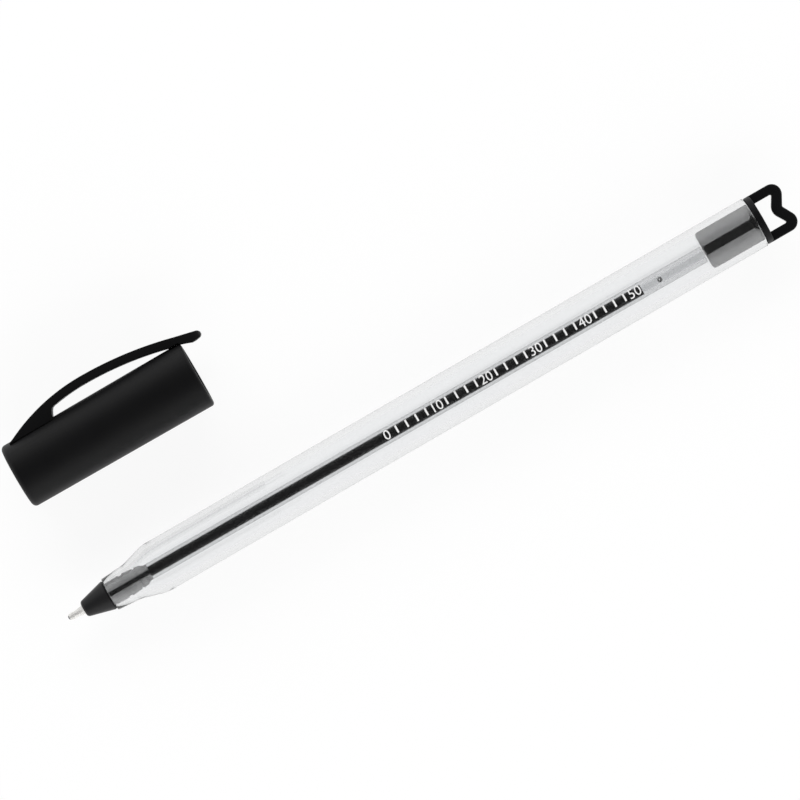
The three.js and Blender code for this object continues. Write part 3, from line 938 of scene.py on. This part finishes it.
# %% [markdown]
# ## The end plug's cross
# The plug is pressed into the back of the barrel with a cross of two fins, which grips the bore and
# lets air past. A cross is a square bar whose four long sides are pulled out. Its outer edges are
# rounded off at the front, where the plug is fed in, and a low cone is turned where it meets the
# flange.

# %% Extrude the cross
CROSS_FRONT = 128.9
FLANGE_FRONT = 139.4
FLANGE_BACK = 140.6
FIN = 1.5
SPAN = 3.53
ROOT_DEPTH = 0.5


def bar(name, start, length, side):
    """A square bar along X, from a cube that is stretched and moved in edit mode."""
    lay_down()
    bpy.ops.mesh.primitive_cube_add(size=1, location=(0, 0, 0))
    piece = begin(name)
    bpy.ops.transform.resize(value=mm(length, side, side))
    shift(start + mm(length / 2))
    return piece


def on_the_bar(face, side):
    """Whether a face is the long side of the bar that looks that way."""
    off = face.calc_center_median() - pen_start
    off.x = 0
    return face.normal.dot(side) > 0.9 and off.length < (FIN / 2 + 0.01) * MM


def at_the_front_corner(edge):
    """Whether an edge is the outer one of a fin, at the front."""
    a, b = (v.co - cross_start for v in edge.verts)
    level = max(abs(a.x), abs(b.x)) < CLOSE_BY
    far = all(max(abs(p.y), abs(p.z)) > (SPAN - 0.01) * MM for p in (a, b))
    return level and far


cross_start = pen_start + mm(CROSS_FRONT)
cross = bar("plug_cross", cross_start, FLANGE_FRONT + ROOT_DEPTH - CROSS_FRONT, FIN)
for side in (Vector((0, 1, 0)), Vector((0, -1, 0)), Vector((0, 0, 1)), Vector((0, 0, -1))):
    pick(lambda face: on_the_bar(face, side), "FACE")
    pull_out(side * (SPAN - FIN / 2) * MM)
pick(at_the_front_corner, "EDGE")
bpy.ops.mesh.bevel(offset=0.6 * MM, segments=3, affect="EDGES")
close_up()
apply_modifier(cross, "BEVEL", width=0.12 * MM, segments=3, limit_method="ANGLE", angle_limit=0.7)
root = turn("plug_root", pen_start, [
    (FLANGE_FRONT - 0.9, 0.0),
    (FLANGE_FRONT - 0.9, 0.8, 0.1),
    (FLANGE_FRONT - 0.1, 1.6, 0.2),
    (FLANGE_FRONT + ROOT_DEPTH, 1.6),
    (FLANGE_FRONT + ROOT_DEPTH, 0.0),
], steps=48, closed=False)
cross = join([cross, root])
smoky_plug = smoky_plastic("smoky_plug", 0.78, 0.65, 0.25)
seat(cross, "end_plug", "end_plug", smoky_plug)

# %% [markdown]
# ## The hanging loop
# The flange closes the barrel, and behind it stands a flat loop with two lobes, for a hook or a
# cord. Its outer and its inner outline come from one function, because the inner one is the outer
# one moved in by the width of the bar, and then a little forward, since the bar is thicker at the
# back. A lobe and the notch are round stretches, joined by a straight one that leans.

# %% Draw the loop's outlines
LOOP_LENGTH = 5.4
LOOP_BAR = 1.74
LOOP_BACK_BAR = 1.95
LOOP_THICK = 2.2
LOOP_SINK = 0.6
FLANGE_RADIUS = 4.57
LOBE = 1.8
LEAST_LOBE = 0.2
NOTCH = 0.3
LEAN = math.radians(28.5)


def loop_back(inset):
    """The back edge of the loop, moved in by inset: two lobes with a notch between them."""
    lobe_x, lobe_y = LOOP_LENGTH - LOBE, FLANGE_RADIUS - LOBE
    reach = LOBE + NOTCH
    run = (lobe_y - reach * math.sin(LEAN)) / math.cos(LEAN)
    notch_x = lobe_x + reach * math.cos(LEAN) - run * math.sin(LEAN)
    r = max(LOBE - inset, LEAST_LOBE)
    x, y = LOOP_LENGTH - inset - r, FLANGE_RADIUS - inset - r
    across = Vector((notch_x - x, y))
    notch = NOTCH + inset
    leaning = math.degrees(math.atan2(across.y, across.x) - math.acos((r + notch) / across.length))
    half = arc(x, y, r, 90, -leaning, 10)
    half += arc(notch_x, 0, notch, 180 - leaning, 180, 5)
    return half + [(x, -y) for x, y in reversed(half[:-1])]


def loop_line(name, points):
    """Draws a closed outline of the loop on its underside."""
    piece = start_piece(name)
    corner = pen_start + mm(FLANGE_BACK, 0, -LOOP_THICK / 2)
    draw_section([corner + mm(x, y) for x, y in points], closed=True)
    lay_down()
    return piece


outside = [(-LOOP_SINK, FLANGE_RADIUS), *loop_back(0), (-LOOP_SINK, -FLANGE_RADIUS)]
inner_side = FLANGE_RADIUS - LOOP_BAR
hole_back = [(x + LOOP_BAR - LOOP_BACK_BAR, y) for x, y in loop_back(LOOP_BAR)]
inside = [(0, inner_side), *hole_back, (0, -inner_side)]
loop = join([loop_line("hanging_loop", outside), loop_line("loop_hole", inside)])
print("The loop's outlines have", len(outside), "and", len(inside), "points")

# %% [markdown]
# The two outlines are bridged into a flat band, which is extruded to its thickness and bevelled. The
# flange is turned and joined to it.

# %% Bridge and extrude the loop
bpy.ops.object.mode_set(mode="EDIT")
pick_all()
bpy.ops.mesh.bridge_edge_loops()
pick_all()
pull_out(mm(0, 0, LOOP_THICK))
close_up()
apply_modifier(loop, "BEVEL", width=0.3 * MM, segments=4, limit_method="ANGLE", angle_limit=0.9)
flange = turn("plug_flange", pen_start, [
    (FLANGE_FRONT, 0.0),
    (FLANGE_FRONT, FLANGE_RADIUS, 0.2),
    (FLANGE_BACK, FLANGE_RADIUS, 0.25),
    (FLANGE_BACK, 0.0),
], steps=128, closed=False)
loop = join([loop, flange])
loop_black = black_plastic("loop_black", (0.005, 0.005, 0.0055), 0.34, 0.5, 0.12, 0.003, gleam=0.14)
seat(loop, "end_plug", "end_plug", loop_black)

# %% [markdown]
# ## The cap
# The cap is a deep cup with a rounded crown and a rounded mouth, narrowing a little to its closed
# end so that it leaves its mould. It is turned with its bore, since the camera looks a little way
# into the mouth. Inside, six low ribs grip the barrel: one is modelled, and the spin operator copies
# it round the axis.

# %% Turn the cap and copy its ribs
CAP_LENGTH = 36.5
CAP_BORE = 4.85
CROWN_THICK = 1.3
DRAFT = 0.2
CROWN_RADIUS = cap_radius - DRAFT
RIB = 0.6
RIB_START = 2.6
RIB_LENGTH = 30.9
RIB_HEIGHT = 5.05
RIB_COUNT = 6

cap = turn("cap_moulding", cap_start, [
    (0, 0.0),
    (0, CROWN_RADIUS, 0.85),
    (CAP_LENGTH, cap_radius, 0.55),
    (CAP_LENGTH, CAP_BORE, 0.2),
    (CROWN_THICK, CAP_BORE, 0.7),
    (CROWN_THICK, 0.0),
], steps=160, closed=False)
ribs = bar("cap_ribs", cap_start + mm(RIB_START), RIB_LENGTH, RIB)
shift(mm(0, 0, RIB_HEIGHT))
bpy.ops.mesh.bevel(offset=0.12 * MM, segments=2, affect="EDGES")
pick_all()
bpy.ops.mesh.spin(
    steps=RIB_COUNT, dupli=True, angle=2 * math.pi, center=cap_start, axis=(1, 0, 0)
)
close_up()
cap = join([cap, ribs])
satin_black = black_plastic("satin_black", (0.0035, 0.0035, 0.0038), 0.42, 0.6, 0.18, 0.004)
seat(cap, "cap", "cap_shell", satin_black)

# %% [markdown]
# ## The clip
# The clip grows out of the cap as a solid web, arches along it as a springing arm, and dips behind
# the mouth to its gripping bead and tail. Its top and the underside of its arm are each two circles
# that share a level crest, so that its bend is even and has no corner.

# %% Draw the clip's long curves
CREST_AT = 18.5
CREST = cap_radius + 3.6
WEB_AT = 2.5
SPLIT_AT = 12.5
TOUCH_AT = 34.4
RIM_AT = 36.0
RIM_GAP = 0.01
CLIP_THICK = 1.57
RIM_THICK = 1.35
WEB_SINK = 0.5


def long_curve(crest, left, right):
    """Two circles that share a level crest, one to each side of it."""
    def radius_to(end):
        drop = crest - end[1]
        return ((end[0] - CREST_AT) ** 2 + drop ** 2) / (2 * drop)

    radii = radius_to(left), radius_to(right)

    def height(x):
        radius = radii[0] if x < CREST_AT else radii[1]
        return crest - radius + math.sqrt(radius ** 2 - (x - CREST_AT) ** 2)

    return height


def cap_side(x):
    """The radius of the cap at a place along it."""
    return CROWN_RADIUS + DRAFT * x / CAP_LENGTH


rim_under = cap_radius + RIM_GAP
clip_top = long_curve(CREST, (WEB_AT, cap_side(WEB_AT)), (RIM_AT, rim_under + RIM_THICK))
under_start = clip_top(SPLIT_AT) - CLIP_THICK
clip_under = long_curve(CREST - CLIP_THICK, (SPLIT_AT, under_start), (TOUCH_AT, rim_under))
web_foot = cap_side(6) - WEB_SINK
print("The clip's crest is", round(CREST - cap_radius, 2), "mm above the cap")

# %% [markdown]
# A station is one cross section of the clip: the place and height of its top, and those of its
# underside. They follow the web, the fillet where the arm leaves it, the arm, the rounded rim of the
# mouth, the bead and the round end of the tail. Heights are measured from the cap's axis.

# %% Set the clip's stations
LIP = 0.55
CLIP_END = 40.6
TAIL_RADIUS = 0.7
TAIL_MIDDLE = cap_radius - 0.27
BEAD = cap_radius - 1.08
ARM_STEPS = 24


def tail_end(angle):
    """How far along the clip, and how far above the tail's middle, its rounded end is."""
    a = math.radians(angle)
    return CLIP_END - TAIL_RADIUS + TAIL_RADIUS * math.cos(a), TAIL_RADIUS * math.sin(a)


tail_x, tail_rise = tail_end(75)
tail_slope = (TAIL_MIDDLE + tail_rise - clip_top(RIM_AT)) / (tail_x - RIM_AT)


def station(x, low_x, low):
    """A cross section, with its top on the long curve or on the straight behind the rim."""
    top = clip_top(x) if x < RIM_AT else clip_top(RIM_AT) + tail_slope * (x - RIM_AT)
    return (x, top), (low_x, low)


stations = [((1.9, web_foot + 0.25), (1.9, web_foot))]
stations += [station(x, x, web_foot) for x in (2.9, 3.6, 4.6, 5.8, 7.2, 8.6, 9.8)]
stations.append(station(10.4, 10.5, web_foot))
for x, low_x, drop in ((10.9, 11.0, 1.13), (11.2, 11.25, 0.64), (11.55, 11.55, 0.24), (12.0, 12.0, 0.07)):
    stations.append(station(x, low_x, under_start - drop))
for i in range(ARM_STEPS + 1):
    x = SPLIT_AT + 0.1 + (TOUCH_AT - SPLIT_AT - 0.1) * i / ARM_STEPS
    stations.append(station(x, x, clip_under(x)))
stations.append(station(35.3, 35.3, rim_under))
for angle in (90, 65, 42, 20):
    a = math.radians(angle)
    x = CAP_LENGTH - LIP + (LIP + RIM_GAP) * math.cos(a)
    low = cap_radius - LIP + (LIP + RIM_GAP) * math.sin(a)
    stations.append(station(x + 0.06, x, low))
for x, low_x, low in ((37.5, 37.5, cap_radius - 0.7), (38.4, 38.5, BEAD), (39.2, 39.2, BEAD)):
    stations.append(station(x, low_x, low))
for angle in (75, 55, 38, 26):
    x, rise = tail_end(angle)
    stations.append(((x, TAIL_MIDDLE + rise), (x, TAIL_MIDDLE - rise)))
stations.append(((CLIP_END, TAIL_MIDDLE + 0.22), (CLIP_END, TAIL_MIDDLE - 0.22)))
print("The clip has", len(stations), "stations")

# %% [markdown]
# The clip is lofted by hand: a small rectangle is extruded from station to station, and at each one
# its top and its underside are moved onto their places and its width is set. A plate cut out from
# the side would have the same outline, but it could not narrow towards its end.

# %% Loft the clip
END_ROUNDING = 1.2
HALF_WIDTH = 2.7
NARROWING = 0.6


def clip_half_width(x):
    """It narrows evenly, and at the end its corners are rounded off."""
    into_the_end = max(x - CLIP_END + END_ROUNDING, 0)
    rounded_off = END_ROUNDING - math.sqrt(END_ROUNDING ** 2 - into_the_end ** 2)
    return HALF_WIDTH - NARROWING * x / CLIP_END - rounded_off


def clip_places(section):
    """The middle of a station's top and of its underside."""
    return [cap_start + mm(x, height) for x, height in section]


clip = start_piece("clip_moulding")
first_top, first_low = clip_places(stations[0])
half = clip_half_width(stations[0][0][0]) * MM
shift(first_top - Vector((0, 0, half)))
draw_edge((0, 0, 2 * half))
pick_all()
pull_out(first_low - first_top)
pick_all()
for before, after in zip(stations, stations[1:]):
    old_top, old_low = clip_places(before)
    new_top, new_low = clip_places(after)
    pull_out(new_top - old_top)
    narrow = clip_half_width(after[0][0]) / clip_half_width(before[0][0])
    bpy.ops.transform.resize(value=(1, 1, narrow), center_override=cap_start)
    low_now = old_low + new_top - old_top
    ring = [point for point in bmesh.from_edit_mesh(clip.data).verts if point.select]
    ring_numbers = {point.index for point in ring}
    low_numbers = {point.index for point in ring if (point.co - low_now).xy.length < CLOSE_BY}
    pick(lambda point: point.index in low_numbers)
    shift(new_low - low_now)
    pick(lambda point: point.index in ring_numbers)
close_up()
print("The clip has", len(clip.data.polygons), "faces before its edges are rounded")

# %% [markdown]
# The loft has already rounded the clip's end, so only its long edges still get a small bevel. Its
# place is then baked into the mesh, and the plain clip is hidden.

apply_modifier(clip, "BEVEL", width=0.2 * MM, segments=3, limit_method="ANGLE", angle_limit=0.8)
dress(clip, satin_black)
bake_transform(clip)
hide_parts("cap_clip")

# %% [markdown]
# ## A printed scale
# A pen's barrel is printed with white ink along its top. Here it is a plain scale to read the ink
# level against: a number at every ten millimetres, with four short ticks between. A tick is a short
# edge that is spun part of the way round the pen's axis, so that it hugs the barrel. Solidify gives
# it the thickness of a printed film, and Array copies it along the pen.

# %% Print the ticks
SCALE_FROM = 64.6
NUMBER_COUNT = 6
NUMBER_PITCH = 10.0
TICK_PITCH = 2.0
TICK_WIDTH = 0.34
TICK_LENGTH = 1.4
FILM = 0.014
film_radius = (barrel_radius + 0.004) * MM


def tick_row(at):
    """A row of ticks on top of the barrel, one after each number but the last."""
    piece = start_piece("ticks")
    half_turn = TICK_LENGTH * MM / film_radius / 2
    side = film_radius * math.sin(half_turn)
    corner = Vector(((at - TICK_WIDTH / 2) * MM, side, film_radius * math.cos(half_turn)))
    shift(pen_start + corner)
    draw_edge(mm(TICK_WIDTH))
    pick_all()
    bpy.ops.mesh.spin(steps=8, angle=-2 * half_turn, center=pen_start, axis=(1, 0, 0))
    close_up()
    apply_modifier(piece, "SOLIDIFY", thickness=FILM * MM, offset=0)
    apply_modifier(
        piece,
        "ARRAY",
        count=NUMBER_COUNT - 1,
        use_relative_offset=False,
        use_constant_offset=True,
        constant_offset_displace=mm(NUMBER_PITCH),
    )
    return piece


tick_rows = [tick_row(SCALE_FROM + i * TICK_PITCH) for i in (1, 2, 3, 4)]
print("The scale has", (NUMBER_COUNT - 1) * len(tick_rows), "ticks")

# %% [markdown]
# A number is set in Blender's own plain type and made a mesh. That mesh is flat, with long thin
# faces, so it is cut finer before it is wrapped: each point keeps its place along the pen, and its
# height on the page becomes a turn about the pen's axis.

# %% Print the numbers
NUMBER_HEIGHT = 1.75
TYPE_SIZE = NUMBER_HEIGHT / 0.7


def printed_number(value):
    """A number that lies on top of the barrel, that many millimetres behind the scale's zero."""
    lay_down()
    bpy.ops.object.text_add(location=(0, 0, 0))
    words = bpy.context.object
    words.data.body = str(value)
    words.data.size = TYPE_SIZE * MM
    words.data.align_x = "CENTER"
    bpy.ops.object.convert(target="MESH")
    piece = begin("number")
    pick_all()
    bpy.ops.mesh.remove_doubles(threshold=SAME_PLACE)
    bpy.ops.mesh.quads_convert_to_tris()
    bpy.ops.mesh.subdivide(number_cuts=3)
    lay_down()
    for point in piece.data.vertices:
        turn_away = (point.co.y - NUMBER_HEIGHT * MM / 2) / film_radius
        across = Vector((0, film_radius * math.sin(turn_away), film_radius * math.cos(turn_away)))
        point.co = pen_start + Vector(((SCALE_FROM + value) * MM + point.co.x, 0, 0)) + across
    apply_modifier(piece, "SOLIDIFY", thickness=FILM * MM, offset=0)
    return piece


numbers = [printed_number(round(i * NUMBER_PITCH)) for i in range(NUMBER_COUNT)]
join([*numbers, *tick_rows])
scale = begin("level_scale")
close_up()
print("The scale has", len(numbers), "numbers")

# %% [markdown]
# The print is matt white, a little patchy where the pad lifted off, so its tone and a shallow bump
# come from the grain group.

# %% Mix the white print
white_print, print_tree = new_finish("white_print", {"Roughness": 0.5})
print_skin = use_group(print_tree, grain, {"Grain Size": 0.1, "Wave Size": 1.5, "Wave Share": 0.5})
link_tone(print_tree, print_skin["Mask"], grey(0.78), grey(0.92))
link_bump(print_tree, print_skin["Height"], 0.004)
dress(scale, white_print)
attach(scale, "barrel")
